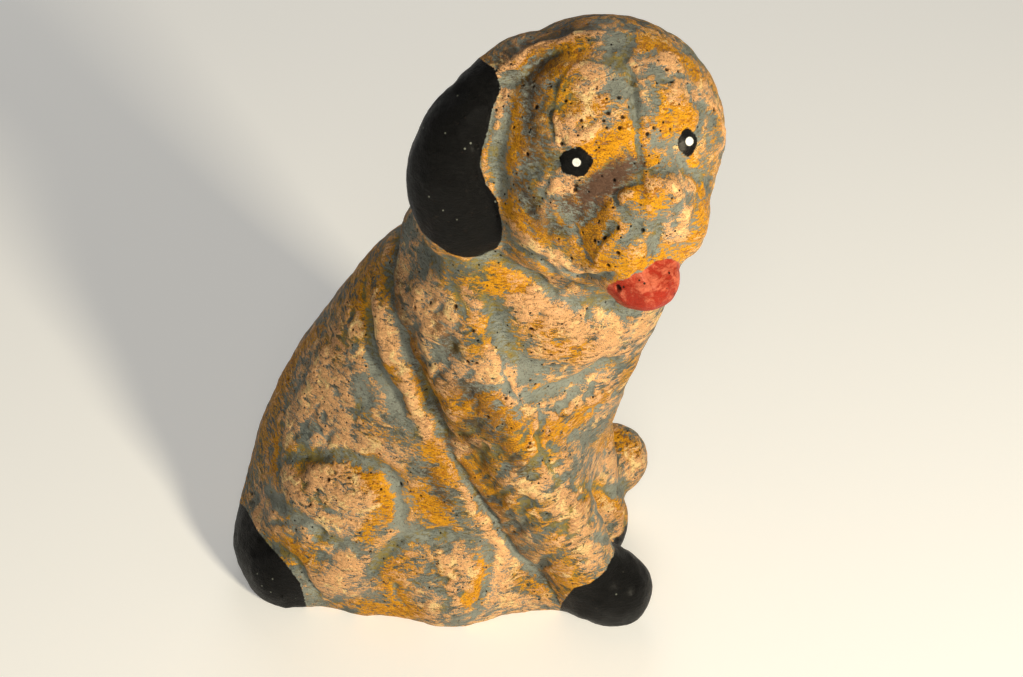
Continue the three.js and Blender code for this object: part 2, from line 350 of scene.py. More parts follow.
# %% Tufts of fur that the photo shows
TUFTS = [
    [(468, 428), (476, 424), (484, 418)],
    [(466, 471), (484, 460), (500, 452)],
    [(482, 503), (500, 494), (512, 482)],
    [(506, 518), (522, 506), (538, 502)],
    [(521, 526), (532, 522), (542, 521)],
    [(535, 537), (546, 528), (555, 524)],
    [(553, 487), (562, 480), (570, 474)],
    [(528, 470), (540, 462), (552, 452)],
    [(435, 354), (446, 349), (456, 346)],
    [(289, 424), (296, 442)],
    [(302, 420), (308, 439)],
    [(340, 430), (318, 441), (294, 448)],
    [(326, 503), (341, 516)],
    [(312, 494), (330, 492)],
    [(408, 322), (414, 342)],
    [(580, 420), (592, 410), (606, 404)],
    [(566, 440), (580, 430)],
]
TUFT_WIDTH, TUFT_DEPTH = 2.6, 1.0
for tuft in TUFTS:
    draw(tuft, TUFT_WIDTH, TUFT_DEPTH, "body")
print("tufts", len(TUFTS))

# %% Rows of tufts, strewn along the leg, the haunch and the flank
# Each row has its start and end, its half breadth in pixels, the tufts' angle in degrees, how many there
# are, and how deep they go in millimetres.
TUFT_ROWS = [
    ((466, 396), (584, 566), 44, -32, 58, 1.5),
    ((430, 300), (456, 400), 24, -30, 14, 1.0),
    ((560, 416), (600, 400), 16, -35, 10, 1.3),
    ((330, 350), (300, 430), 24, 78, 16, 0.7),
    ((288, 500), (350, 560), 26, 18, 12, 1.0),
    ((384, 250), (350, 330), 12, 100, 6, 0.7),
    ((540, 300), (600, 340), 22, 24, 8, 0.9),
    ((430, 560), (450, 610), 20, 40, 6, 0.8),
]
dice = Random(11)
for start, end, half, angle, count, depth in TUFT_ROWS:
    row = Vector(end) - Vector(start)
    across = Vector((-row.y, row.x)).normalized()
    for k in range(count):
        turn = math.radians(angle + dice.gauss(0, 9))
        reach = Vector((math.cos(turn), math.sin(turn))) * dice.uniform(5, 10)
        middle = Vector(start) + row * (k + dice.random()) / count + across * dice.uniform(-half, half)
        bend = Vector((dice.uniform(-2, 2), dice.uniform(-2, 2)))
        tuft = [middle - reach, middle + bend, middle + reach]
        draw(tuft, dice.uniform(1.2, 2.1), depth * dice.uniform(0.7, 1.2))
print("marks so far", len(marks))

# %% [markdown]
# ## Finer clay where it matters
# The clay so far has squares 2 mm wide, too wide for creases of a millimetre. Finer voxels would make the
# whole casting heavy, so only the squares of the face, and those under the drawn lines, are cut in four.

# %% Cut the squares
NEAR_LINE = 2.6
FACE_FRONT, CHIN = -14, -48  # the face lies in front of the one and above the other, in the head's axes


def cut_faces(chosen_faces, cuts):
    """Subdivides the faces that an array of true and false picks."""
    only(clay)
    bpy.ops.object.mode_set(mode="EDIT")
    bpy.context.tool_settings.mesh_select_mode = (False, False, True)
    bpy.ops.mesh.select_all(action="DESELECT")
    bpy.ops.object.mode_set(mode="OBJECT")
    clay.data.polygons.foreach_set("select", chosen_faces)
    bpy.ops.object.mode_set(mode="EDIT")
    bpy.ops.mesh.subdivide(number_cuts=cuts)
    bpy.ops.object.mode_set(mode="OBJECT")


def finder_of(points):
    """A tree that finds the nearest of many points fast."""
    made = KDTree(len(points))
    for i, point in enumerate(points):
        made.insert(point, i)
    made.balance()
    return made


def seen_from_head(points):
    """Points in the head's own axes: its nose is along -Y."""
    to_head = np.array(HEAD.inverted())
    return points @ to_head[:3, :3].T + to_head[:3, 3]


middles = column(clay.data.polygons, "center", 3) / MM
in_head = seen_from_head(middles)
on_face = (in_head[:, 1] < FACE_FRONT) & (in_head[:, 2] > CHIN)
drawn_finder = finder_of(drawn)
near_drawn = np.array([drawn_finder.find(point)[2] < NEAR_LINE for point in middles])
before = len(clay.data.polygons)
cut_faces(on_face | near_drawn, 1)
applied(clay, "SMOOTH", factor=0.5, iterations=2)
print("faces", before, "->", len(clay.data.polygons))

# %% [markdown]
# ## Pressing the lines in
# A mark pushes the skin in or out along its normals, deepest on the line and fading over its width and
# towards both ends. Tubes cut in by a boolean would leave hard rims, which a casting from a worn mould
# doesn't have. All marks add up before anything moves, so their order doesn't matter. The distances are
# taken from slightly shifted points, and the depth changes along the line, which makes every edge wander
# as a hand-cut one does.

# %% Distances to lines
skin = column(clay.data.vertices, "co", 3) / MM
normals = column(clay.data.vertex_normals, "vector", 3)
WANDER, WANDER_SIZE = 1.3, 8  # how far an edge strays, and over what length, in millimetres
BITE, BITE_SIZE = 0.7, 11  # how much the depth changes, and over what length
TIP, SWELL = 0.55, 0.45  # a mark's width at its tips, and what the middle adds to it
STEEP, FAINT, FAINT_REACH = 0.7, 0.3, 2.1  # shares of the inner and outer slope, and the outer's reach
END_FADE = 0.2  # the share of a mark over which each end fades
RECESS_LIMIT = 2.2  # deeper marks count no more than this for the paint
noise.seed_set(11)  # without a seed, noise_vector starts from the clock and differs each run
wander = np.array([noise.noise_vector(Vector(point) / WANDER_SIZE) for point in skin]) * WANDER
bite = np.array([1 + BITE * noise.noise(Vector(point) / BITE_SIZE) for point in skin])
push = np.zeros(len(skin))
recess = np.zeros(len(skin))


def to_segment(points, a, b):
    """How far points are from the segment a to b, and how far along it from 0 to 1."""
    span = b - a
    t = np.clip((points - a) @ span / max(span @ span, 1e-9), 0, 1)
    return np.linalg.norm(points - a - t[:, None] * span, axis=1), t


def near_line(line, reach):
    """Vertices nearer to a line than reach, how far off they are, and how far along it from 0 to 1."""
    corners = np.array([tuple(p) for p in line])
    box = np.all((skin > corners.min(0) - reach) & (skin < corners.max(0) + reach), axis=1)
    ids = np.nonzero(box)[0]
    place = skin[ids] + wander[ids]
    best = np.full(len(ids), np.inf)
    along = np.zeros(len(ids))
    for i, (a, b) in enumerate(zip(corners, corners[1:])):
        far, t = to_segment(place, a, b)
        along = np.where(far < best, (i + t) / (len(corners) - 1), along)
        best = np.minimum(best, far)
    kept = best < reach
    return ids[kept], best[kept], along[kept]


def press(line, width, depth):
    """Adds one mark to the push, and to the record of how deep the skin is recessed."""
    ids, far, along = near_line(line, 4 * width)
    wide = width * (TIP + SWELL * np.sin(np.pi * along) ** 0.5)
    soft = STEEP * np.exp(-((far / wide) ** 2)) + FAINT * np.exp(-((far / wide / FAINT_REACH) ** 2))
    fade = soft * np.clip(np.minimum(along, 1 - along) / END_FADE, 0.2, 1) ** 0.8 * bite[ids]
    push[ids] -= depth * fade
    recess[ids] += np.sign(depth) * min(abs(depth), RECESS_LIMIT) * fade


def dab(centre, wide, depth):
    """A round dent, or a swelling where depth is below 0."""
    far = np.linalg.norm(skin - np.array(centre), axis=1)
    push[:] -= depth * np.exp(-((far / wide) ** 2))


for line, width, depth in marks:
    press(line, width, depth)
EYEBALLS = (((576, 162), 5.5), ((689, 143), 4.6))  # pixel and radius; each bulges in a wider socket
BULGE, SOCKET = 1.6, 2.1
for pixel, wide in EYEBALLS:
    dab(on_skin(*pixel), wide, -BULGE)
    dab(on_skin(*pixel), wide * SOCKET, BULGE)
print("marks", len(marks), "deepest", round(push.min(), 1), "highest", round(push.max(), 1), "mm")

# %% [markdown]
# ## Fur and unevenness
# Between the folds the mould has short combed tufts, and the cast skin is never quite even. A displacement
# texture would roughen it all alike, so short grooves are strewn instead, running down and back as fur
# does, and a slow noise lifts and lowers the rest.

# %% Combed fur
FUR_COUNT = 420
FUR_STEP = 4.5
DOWN, BACK = -1, 0.5
UNEVEN = ((0.6, 17), (0.45, 7), (0.3, 3.2))  # height and length of the unevenness, in millimetres
for _ in range(FUR_COUNT):
    at = Vector(dice.choice(skin))
    n = Vector(tree.find_nearest(at)[1])
    flow = Vector((dice.gauss(0, 0.35), BACK + dice.gauss(0, 0.35), DOWN + dice.gauss(0, 0.3)))
    line = [at]
    for _ in range(dice.randint(1, 3)):
        along = (flow - n * flow.dot(n)).normalized()
        spot, n = tree.find_nearest(line[-1] + along * FUR_STEP)[:2]
        line.append(spot)
    press(line, dice.uniform(1.0, 2.4), dice.uniform(0.25, 0.9))

for i, point in enumerate(skin):
    p = Vector(point)
    push[i] += sum(height * noise.noise(p / size) for height, size in UNEVEN)
print("fur strokes", FUR_COUNT)

# %% [markdown]
# ## Moving the skin
# The pushes are applied in one go. Where the skin would leave the box of the solid, or pass through the
# ground, it is held back, so the underside stays flat and the size stays true.

# %% Apply the marks
UNDERSIDE = 0.35  # what lies lower than this is the flat base
CLEARANCE = 0.05  # the least height of the rest of the skin
under = skin[:, 2] < UNDERSIDE
push[under] = 0
shaped = np.clip(skin + normals * push[:, None], np.array(solid_low) / MM, np.array(solid_high) / MM)
shaped[~under, 2] = np.maximum(shaped[~under, 2], CLEARANCE)
clay.data.vertices.foreach_set("co", (shaped * MM).ravel())
clay.data.update()
print("shaped", [round(side, 1) for side in np.ptp(shaped, axis=0)], "mm")

# %% [markdown]
# ## What the paint needs to know
# Dry-brushing leaves paint on what stands up and misses what lies deep. That is measured here, as the
# height of each point over a blurred copy of the skin, once lightly blurred for the fine relief and once
# strongly for the broad. The painted areas are given as signed distances in millimetres, above 0 inside,
# so that the shader can rough up their edges.

# %% Relief
skin = column(clay.data.vertices, "co", 3) / MM
normals = column(clay.data.vertex_normals, "vector", 3)
ends = column(clay.data.edges, "vertices", 2).astype(int)
lengths = np.linalg.norm(skin[ends[:, 0]] - skin[ends[:, 1]], axis=1)


def gathered(values):
    """For every vertex, the sum over its edges of a value at the edge's other end."""
    first, second = ends.T
    return np.bincount(first, values[second], len(skin)) + np.bincount(second, values[first], len(skin))


counts = gathered(np.ones(len(skin)))
length_sums = sum(np.bincount(side, lengths, len(skin)) for side in ends.T)
rate = 0.5 * np.clip(counts / length_sums, 0, 1) ** 2


def blurred(values, rounds):
    """Values spread evenly over the skin, further with more rounds, whatever the size of its squares."""
    for _ in range(rounds):
        values = values + rate * (gathered(values) / counts - values)
    return values


def above(rounds):
    """Height of the skin over a copy blurred by some rounds."""
    flat = np.stack([blurred(skin[:, axis], rounds) for axis in range(3)], axis=1)
    return ((skin - flat) * normals).sum(axis=1)


FINE_BLUR, BROAD_BLUR = (14, 80), (110, 250)  # rounds for the relief, and for the mean it varies about
fine, broad = above(FINE_BLUR[0]), above(BROAD_BLUR[0])
fine -= blurred(fine, FINE_BLUR[1])
broad -= blurred(broad, BROAD_BLUR[1])
raised = 0.8 * fine / fine.std() + 0.5 * broad / broad.std() - 0.5 * recess
print("fine relief", fine.std().round(3), "broad relief", broad.std().round(3), "mm")

# %% Distances to lines and bodies
def seen(points):
    """The photo's pixels of points, and how many pixels a millimetre takes there."""
    rel = points - np.array(AIM)
    depth = DISTANCE - rel @ np.array(back)
    x = AIM_PIXEL[0] + FOCAL * (rel @ np.array(right)) / depth
    y = AIM_PIXEL[1] - FOCAL * (rel @ np.array(up)) / depth
    return np.stack([x, y], axis=1), FOCAL / depth


pixels, scale = seen(skin)
in_head = seen_from_head(skin)


def side_of(line):
    """Distance in millimetres to the left of a pixel line that runs downwards."""
    corners = np.array(line, float)
    best = np.full(len(skin), np.inf)
    sign = np.ones(len(skin))
    for a, b in zip(corners, corners[1:]):
        far, _ = to_segment(pixels, a, b)
        turn = (b - a)[0] * (pixels[:, 1] - a[1]) - (b - a)[1] * (pixels[:, 0] - a[0])
        closer = far < best
        sign = np.where(closer, np.sign(turn), sign)
        best = np.minimum(best, far)
    return sign * best / scale


def inside(outline):
    """Signed distance in millimetres to a closed outline of pixels, above 0 inside it."""
    corners = np.array(outline, float)
    best = np.full(len(skin), np.inf)
    odd = np.zeros(len(skin), dtype=bool)
    for a, b in zip(corners, np.roll(corners, -1, axis=0)):
        best = np.minimum(best, to_segment(pixels, a, b)[0])
        crosses = (a[1] > pixels[:, 1]) != (b[1] > pixels[:, 1])
        run, drop = b - a
        where = a[0] + (pixels[:, 1] - a[1]) * run / (drop or 1)
        odd ^= crosses & (pixels[:, 0] < where)
    return np.where(odd, best, -best) / scale


def rod_distance(points):
    """Distance outside a round rod through points of [x, y, z, radius]."""
    best = np.full(len(skin), np.inf)
    for a, b in zip(points, points[1:]):
        far, t = to_segment(skin, np.array(a[:3]), np.array(b[:3]))
        best = np.minimum(best, far - (a[3] + t * (b[3] - a[3])))
    return best


def ball_distance(centre, radius):
    """Distance inside a ball, below 0 outside it."""
    return radius - np.linalg.norm(skin - centre, axis=1)


def on_head(points):
    """A rod's points, given in the head's own axes, as places on the figure."""
    return [(*(HEAD @ Vector(p[:3])), p[3]) for p in points]


# %% [markdown]
# ## Black parts
# The ears, the paws and the tail are black. The painted edge is drawn as a line or an outline in the photo.
# The same pixels also lie on what is behind the part, so each is also bounded by a rod or a ball round the
# part itself, a few millimetres wider than it.

# %% Ears, tail and paws
EAR_OUTLINE = [
    (478, 57), (495, 69), (501, 88), (492, 110), (488, 130), (482, 150), (480, 166), (486, 184),
    (497, 199), (502, 219), (502, 239), (497, 248), (480, 256), (466, 258), (450, 254), (430, 240),
    (400, 210), (385, 160), (395, 110), (425, 75), (455, 55),
]
NEAR_EAR = [(-42, 12, 20, 13), (-50, 12, 6, 17), (-55, 11, -10, 18), (-52, 8, -28, 17)]
FAR_EAR = [(42, 20, 16, 10), (43, 20, -10, 14), (41, 18, -30, 10)]
NEAR_EAR_MARGIN, FAR_EAR_MARGIN, FAR_EAR_FRONT = 5, 3, 4
near_ear = np.minimum(NEAR_EAR_MARGIN - rod_distance(on_head(NEAR_EAR)), inside(EAR_OUTLINE))
far_ear = np.minimum(FAR_EAR_MARGIN - rod_distance(on_head(FAR_EAR)), in_head[:, 1] - FAR_EAR_FRONT)
ears = np.maximum(near_ear, far_ear)

TAIL = [(0, 92, 20, 20), (-28, 90, 14, 21), (-41, 79, 11, 20)]
TAIL_LINE = [
    (236, 500), (245, 507), (258, 531), (270, 546), (286, 564), (300, 583), (307, 608), (308, 640),
]
TAIL_MARGIN = 4
tail = np.minimum(side_of(TAIL_LINE), TAIL_MARGIN - rod_distance(TAIL))

PAW_LINE = [(640, 520), (614, 538), (598, 556), (580, 580), (562, 603), (550, 640)]
NEAR_PAW_AT, NEAR_PAW_RADIUS = (-15, -68, 12), 30
FAR_PAW_AT, FAR_PAW_RADIUS = (25, -60, 0), 18
near_paw = np.minimum(-side_of(PAW_LINE), ball_distance(NEAR_PAW_AT, NEAR_PAW_RADIUS))
far_paw = ball_distance(FAR_PAW_AT, FAR_PAW_RADIUS)
paws = np.maximum(near_paw, far_paw)
print("ears", (ears > 0).sum(), "paws", (paws > 0).sum(), "tail", (tail > 0).sum(), "points")

# %% [markdown]
# ## Eyes, tongue and stain
# The eyes are black blots with a few lobes, as a brush twirled on the spot leaves them, and a white dot on
# each. Modelled eyeballs with a separate gloss would look too lifelike: on the real figure only the bulge
# is cast, and the rest is paint. The tongue's red stops at the mouth line, and a brown stain lies beside
# the nose.

# %% Eyes, tongue and stain
OVAL_REACH = 22  # the skin further off than this is another part behind it
FAR_OUTSIDE = -20


def oval(centre, across, down, lobes=0, tilt=0):
    """Signed distance to an oval that lies on the skin, from its centre and half sizes in pixels."""
    c, s = math.cos(math.radians(tilt)), math.sin(math.radians(tilt))
    off = (pixels - np.array(centre)) @ np.array([[c, s], [-s, c]]) / (across, down)
    angle = np.arctan2(off[:, 1], off[:, 0])
    edge = 1 + 0.06 * np.cos(lobes * angle + 0.6) if lobes else 1
    within = (edge - np.linalg.norm(off, axis=1)) * min(across, down) / scale
    return np.where(ball_distance(on_skin(*centre), OVAL_REACH) > 0, within, FAR_OUTSIDE)


eyes = np.maximum(oval((576, 162), 16.5, 14.5, 5), oval((687.5, 142.5), 9.4, 13.6, 4))
# Painted reflection: a grey sheen on the lower left of the far eye.
iris = oval((682.5, 146), 4.4, 8.5)
glints = np.maximum(oval((576.6, 162.4), 4.4, 4.4), oval((689.5, 141.4), 4.2, 4.6))

MOUTH_LINE = [(700, 262), (680, 259), (658, 258), (642, 261), (624, 266), (606, 275), (598, 290)]
TONGUE_RIM = 1.12  # the red reaches a little past the ball of the tongue
tongue_axes = np.array(TONGUE_SIZE)
tongue_off = (in_head - np.array(TONGUE_AT)) / tongue_axes
tongue_area = (TONGUE_RIM - np.linalg.norm(tongue_off, axis=1)) * tongue_axes.min()
tongue_area = np.minimum(tongue_area, -side_of(MOUTH_LINE))
muzzle_stain = oval((606, 182), 40, 15, tilt=34)
print("tongue", (tongue_area > 0).sum(), "eyes", (eyes > 0).sum(), "points")

# %% [markdown]
# ## Where the brush went
# The painter worked by eye, so some places got more orange, others more peach, and most valleys neither.
# The strokes here are wide and soft: they only change how much of a coat the grain of the surface takes
# up. Each has its pixels in the photo and its half width in millimetres.

# %% Brush pressure
BRUSHED = {
    # Painted shade: brown strokes on the crown, the temple and the sides of folds that turn away from the
    # light.
    "umber": [
        ([(542, 64), (532, 90), (530, 120), (534, 148)], 9), ([(522, 190), (534, 210), (550, 230)], 6),
        ([(598, 198), (602, 216), (596, 236)], 5), ([(402, 220), (392, 250), (396, 284)], 6),
        ([(452, 384), (476, 398), (500, 424)], 7), ([(470, 438), (484, 462)], 6),
        ([(490, 500), (520, 532)], 4), ([(500, 60), (540, 40), (584, 26)], 5),
        ([(570, 206), (584, 216)], 5), ([(430, 470), (446, 500)], 4),
        ([(398, 300), (414, 350), (434, 406), (452, 446)], 5),
        ([(462, 466), (500, 524), (548, 586)], 4), ([(440, 330), (452, 350)], 5),
        ([(470, 420), (500, 440), (520, 470)], 5),
    ],
    "orange": [
        ([(588, 150), (610, 144), (630, 134)], 5), ([(532, 62), (548, 64), (566, 60)], 6),
        ([(514, 110), (520, 135), (507, 165)], 4), ([(506, 204), (522, 226), (540, 240)], 4),
        ([(540, 264), (566, 280), (592, 284)], 3), ([(632, 192), (646, 198), (656, 202)], 4),
        ([(604, 204), (600, 216), (588, 226)], 4),
        ([(586, 236), (594, 254), (614, 268), (640, 262), (664, 254)], 5),
        ([(578, 214), (590, 222), (604, 232)], 5),
        ([(700, 222), (694, 240), (682, 250), (666, 254)], 6),
        ([(690, 162), (698, 176), (700, 190)], 4), ([(668, 106), (680, 116), (664, 126)], 5),
        ([(650, 44), (676, 56), (694, 74)], 5), ([(638, 160), (650, 158), (664, 162)], 3),
        ([(586, 112), (598, 104)], 4), ([(430, 450), (440, 470), (432, 486)], 6),
        ([(420, 500), (436, 508), (446, 522)], 6), ([(368, 474), (384, 490), (390, 512)], 6),
        ([(372, 520), (364, 536)], 5), ([(394, 590), (404, 604), (418, 612)], 5),
        ([(486, 560), (484, 582), (470, 602)], 4), ([(560, 424), (586, 412), (604, 398)], 6),
        ([(536, 392), (566, 386), (604, 370)], 3), ([(540, 322), (556, 340), (572, 346)], 6),
        ([(500, 282), (520, 286)], 5), ([(410, 345), (420, 372), (430, 396)], 5),
        ([(392, 372), (400, 392), (410, 410)], 4), ([(446, 394), (470, 402), (486, 400)], 5),
        ([(600, 446), (616, 442), (636, 450)], 5), ([(598, 500), (612, 506)], 5),
        ([(282, 380), (300, 350), (318, 330)], 5), ([(276, 440), (272, 466)], 4),
        ([(300, 556), (290, 544)], 4), ([(360, 604), (396, 612)], 5),
        ([(372, 466), (392, 480), (398, 500)], 5), ([(490, 400), (506, 420), (516, 440)], 5),
        ([(470, 462), (480, 484), (498, 500)], 4),
    ],
    "peach": [
        ([(598, 58), (588, 84), (596, 112)], 7), ([(560, 146), (568, 134), (580, 126)], 5),
        ([(548, 192), (560, 184), (572, 176)], 5), ([(664, 222), (672, 234)], 3),
        ([(682, 212), (686, 224), (678, 236)], 3), ([(702, 84), (720, 108), (722, 150)], 4),
        ([(496, 72), (526, 54), (560, 42), (596, 36)], 4), ([(502, 88), (498, 108)], 3),
        ([(518, 226), (544, 250), (560, 262)], 5), ([(636, 64), (656, 66), (670, 60)], 4),
        ([(652, 106), (670, 98), (694, 96)], 4), ([(668, 190), (692, 184)], 4),
        ([(456, 556), (464, 568), (462, 582)], 6), ([(424, 614), (444, 606), (456, 596)], 6),
        ([(290, 484), (322, 484), (352, 492)], 8), ([(326, 584), (346, 576), (364, 560)], 7),
        ([(286, 424), (316, 438), (352, 444), (390, 456)], 6), ([(262, 500), (256, 520)], 5),
        ([(514, 286), (540, 306), (570, 326), (604, 330)], 9), ([(430, 306), (438, 330)], 6),
        ([(556, 480), (574, 516), (588, 560)], 7), ([(646, 316), (640, 340), (628, 352)], 6),
        ([(596, 456), (620, 464), (642, 460)], 9), ([(600, 500), (612, 516), (616, 530)], 6),
        ([(450, 366), (470, 378), (490, 372)], 6), ([(404, 392), (412, 412), (424, 434)], 5),
        ([(376, 300), (384, 326), (392, 350)], 4), ([(400, 250), (404, 280), (410, 300)], 4),
        ([(352, 332), (348, 352), (340, 376)], 8), ([(318, 396), (334, 410), (346, 424)], 7),
        ([(432, 296), (444, 318), (448, 336)], 7), ([(640, 330), (624, 342), (606, 350)], 6),
        ([(512, 300), (528, 318), (540, 334)], 6), ([(496, 356), (512, 376), (520, 398)], 5),
        ([(600, 376), (612, 386), (604, 404)], 6), ([(334, 340), (322, 380), (304, 414)], 8),
        ([(496, 576), (504, 596), (524, 604)], 5), ([(336, 556), (346, 530), (360, 512)], 5),
        ([(450, 440), (440, 420)], 5), ([(462, 452), (486, 446)], 4),
        ([(490, 548), (496, 570), (506, 592)], 4), ([(302, 500), (330, 518), (344, 544)], 7),
        ([(338, 346), (350, 372), (348, 398)], 6), ([(462, 290), (476, 304), (486, 300)], 5),
    ],
    "grey": [
        ([(622, 34), (620, 60), (628, 90), (634, 118)], 4), ([(604, 62), (612, 80), (618, 100)], 4),
        ([(648, 72), (654, 92), (650, 110)], 5), ([(686, 106), (696, 116)], 5),
        ([(644, 166), (660, 172), (668, 188)], 7), ([(652, 202), (658, 214), (656, 232)], 5),
        ([(588, 216), (604, 228), (622, 242), (634, 252)], 8),
        ([(497, 140), (496, 160), (502, 184)], 4), ([(692, 206), (696, 224)], 4),
        ([(524, 92), (520, 112), (530, 130)], 4), ([(548, 160), (534, 176), (528, 200)], 5),
        ([(624, 216), (636, 230), (646, 252)], 6), ([(504, 82), (524, 74), (544, 58)], 3),
        ([(700, 166), (706, 184)], 3), ([(510, 238), (536, 262), (570, 280), (604, 296)], 4),
        ([(570, 82), (556, 104)], 3), ([(700, 60), (690, 50)], 4), ([(560, 210), (566, 228)], 4),
        ([(366, 336), (380, 372), (396, 404), (410, 434)], 6), ([(352, 380), (362, 410)], 4),
        ([(404, 340), (416, 376), (436, 420)], 3), ([(268, 490), (286, 512), (308, 524)], 6),
        ([(326, 530), (342, 544), (362, 546)], 6), ([(372, 568), (404, 545), (440, 538)], 5),
        ([(262, 546), (288, 566), (312, 604)], 5), ([(350, 612), (400, 622), (460, 624)], 4),
        ([(284, 458), (310, 458), (334, 456)], 4), ([(278, 444), (278, 474)], 3),
        ([(356, 462), (388, 478), (400, 512), (402, 530)], 4),
        ([(490, 300), (502, 326), (518, 360), (530, 384)], 7), ([(534, 400), (548, 392)], 5),
        ([(552, 398), (590, 386), (620, 364)], 5), ([(436, 354), (456, 346)], 5),
        ([(468, 342), (488, 336)], 5), ([(466, 428), (484, 418)], 4), ([(466, 470), (500, 452)], 4),
        ([(484, 503), (512, 482)], 4), ([(508, 518), (538, 502)], 4), ([(522, 526), (542, 521)], 4),
        ([(536, 536), (555, 524)], 4), ([(553, 487), (572, 473)], 4),
        ([(420, 470), (450, 500), (470, 540)], 5), ([(590, 490), (624, 490)], 5),
        ([(600, 520), (612, 530)], 4), ([(436, 590), (430, 574)], 5),
        ([(410, 224), (396, 250), (388, 280)], 5), ([(424, 262), (460, 274), (496, 266)], 5),
        ([(640, 314), (650, 306)], 4), ([(350, 350), (364, 330)], 4), ([(300, 444), (310, 426)], 4),
        ([(260, 450), (250, 480)], 5), ([(530, 470), (552, 452)], 4), ([(580, 440), (600, 430)], 5),
        ([(468, 388), (490, 396)], 5), ([(482, 430), (512, 438)], 5), ([(432, 392), (444, 416)], 4),
        ([(444, 530), (410, 528)], 5), ([(540, 560), (520, 548)], 4), ([(500, 460), (520, 446)], 4),
    ],
}
brushed = {}
for coat, strokes in BRUSHED.items():
    brushed[coat] = np.zeros(len(skin))
    for line, width in strokes:
        ids, far, along = near_line(smooth_line([on_skin(*pixel) for pixel in line]), 2.4 * width)
        reach = np.exp(-((far / width) ** 2))
        brushed[coat][ids] = np.maximum(brushed[coat][ids], reach)
print({coat: round(field.mean(), 3) for coat, field in brushed.items()})

# %% [markdown]
# ## Air bubbles
# Bubbles caught against the mould leave round pits, most of them 1 to 2 mm wide. Balls cut out by booleans
# would be true to the real thing, but hundreds of them are slow and leave slivers. Here the squares round
# each pit are cut finer, and the skin inside its rim is sunk like a bowl. Pits are denser on the head,
# where the air collects in a mould that stands upside down. The list holds the ones that the photo shows;
# the rest are strewn.

# %% Store the areas
def store(name, values):
    """Keeps one number for each vertex as an attribute that the material can read."""
    layer = clay.data.attributes.get(name) or clay.data.attributes.new(name, "FLOAT", "POINT")
    layer.data.foreach_set("value", np.asarray(values, dtype=np.float32))


# Fur texture is fainter in the folds, on the face and where the figure was painted by hand.
BARE_FRONT, BARE_CHIN, BARE_SHARE = -8, -42, 0.45
on_face = (in_head[:, 1] < BARE_FRONT) & (in_head[:, 2] > BARE_CHIN)
furry = np.clip(1 - 0.9 * np.maximum(recess, 0), 0.1, 1) * np.where(on_face, BARE_SHARE, 1)
furry *= np.clip(1 - np.maximum.reduce([ears, paws, tail, tongue_area, eyes]) - 0.8, 0.15, 1)
AREAS = {
    "raised": np.clip(raised, -3, 3),
    "deep": np.clip(recess, 0, 2),
    "furry": furry,
    "ears": ears,
    "paws": paws,
    "tail": tail,
    "eyes": eyes,
    "iris": iris,
    "glints": glints,
    "tongue": tongue_area,
    "stain": muzzle_stain,
    "umber": brushed["umber"],
    "orange": brushed["orange"] - 0.8 * brushed["grey"],
    "peach": brushed["peach"] - brushed["grey"] - 0.8 * brushed["orange"],
}
for name, values in AREAS.items():
    store(name, values)
print("areas", sorted(AREAS))

# %% Choose the pits
PITS_SEEN = [
    (623, 117), (580, 121), (566, 101), (532, 85), (535, 107), (665, 71), (676, 73), (684, 61),
    (671, 83), (668, 56), (691, 103), (699, 114), (671, 129), (620, 127), (603, 121), (607, 113),
    (577, 190), (613, 181), (621, 229), (597, 241), (605, 238), (552, 260), (570, 258), (619, 249),
    (642, 230), (512, 128), (526, 154), (416, 350), (421, 306), (453, 309), (430, 303), (476, 343),
    (473, 329), (551, 350), (554, 363), (590, 312), (622, 337), (565, 289), (532, 328), (477, 364),
    (487, 417), (531, 443), (550, 430), (562, 431), (537, 385), (382, 488), (379, 455), (397, 487),
    (384, 583), (382, 597), (349, 603), (296, 530), (371, 554), (317, 490), (420, 496), (572, 478),
    (547, 516), (466, 361), (512, 405), (340, 300), (352, 330), (330, 480), (349, 477), (310, 505),
]
PIT_COUNT = 330
WIDE, SMALL = (0.7, 1.05), (0.42, 0.65)  # radii in millimetres
WIDE_SHARE = 0.15
NECK, BODY_SHARE = -45, 0.5  # below this height in the head's axes, pits are half as dense
FOOT = 4  # no pits lower than this
TONGUE_HOLE, TONGUE_HOLE_RADIUS = (618, 288), 1.5
surface = finder_of(skin)
pits = {surface.find(on_skin(*pixel))[1]: dice.uniform(*WIDE) for pixel in PITS_SEEN}
pits[surface.find(on_skin(*TONGUE_HOLE))[1]] = TONGUE_HOLE_RADIUS
while len(pits) < PIT_COUNT:
    i = dice.randrange(len(skin))
    crowd = 1.0 if in_head[i, 2] > NECK else BODY_SHARE
    if skin[i, 2] > FOOT and dice.random() < crowd and max(eyes[i], tongue_area[i]) < -2:
        pits[i] = dice.uniform(*(WIDE if dice.random() < WIDE_SHARE else SMALL))
pits = [(Vector(skin[i]), Vector(normals[i]), radius) for i, radius in pits.items()]
print("pits", len(pits))

# %% Sink them
PIT_DEPTH = 1.2  # in radii
CUTS = ((1, 1.2), (2, 0))  # cuts, and the area in square millimetres above which a face gets them
pit_finder = finder_of([centre for centre, _, _ in pits])
for cuts, finest in CUTS:
    areas = column(clay.data.polygons, "area", 1)[:, 0] / MM**2
    reached = []
    for middle, area in zip(column(clay.data.polygons, "center", 3) / MM, areas):
        _, nearest, far = pit_finder.find(middle)
        reached.append(far < pits[nearest][2] + 0.5 * math.sqrt(area) and area > finest)
    cut_faces(np.array(reached), cuts)

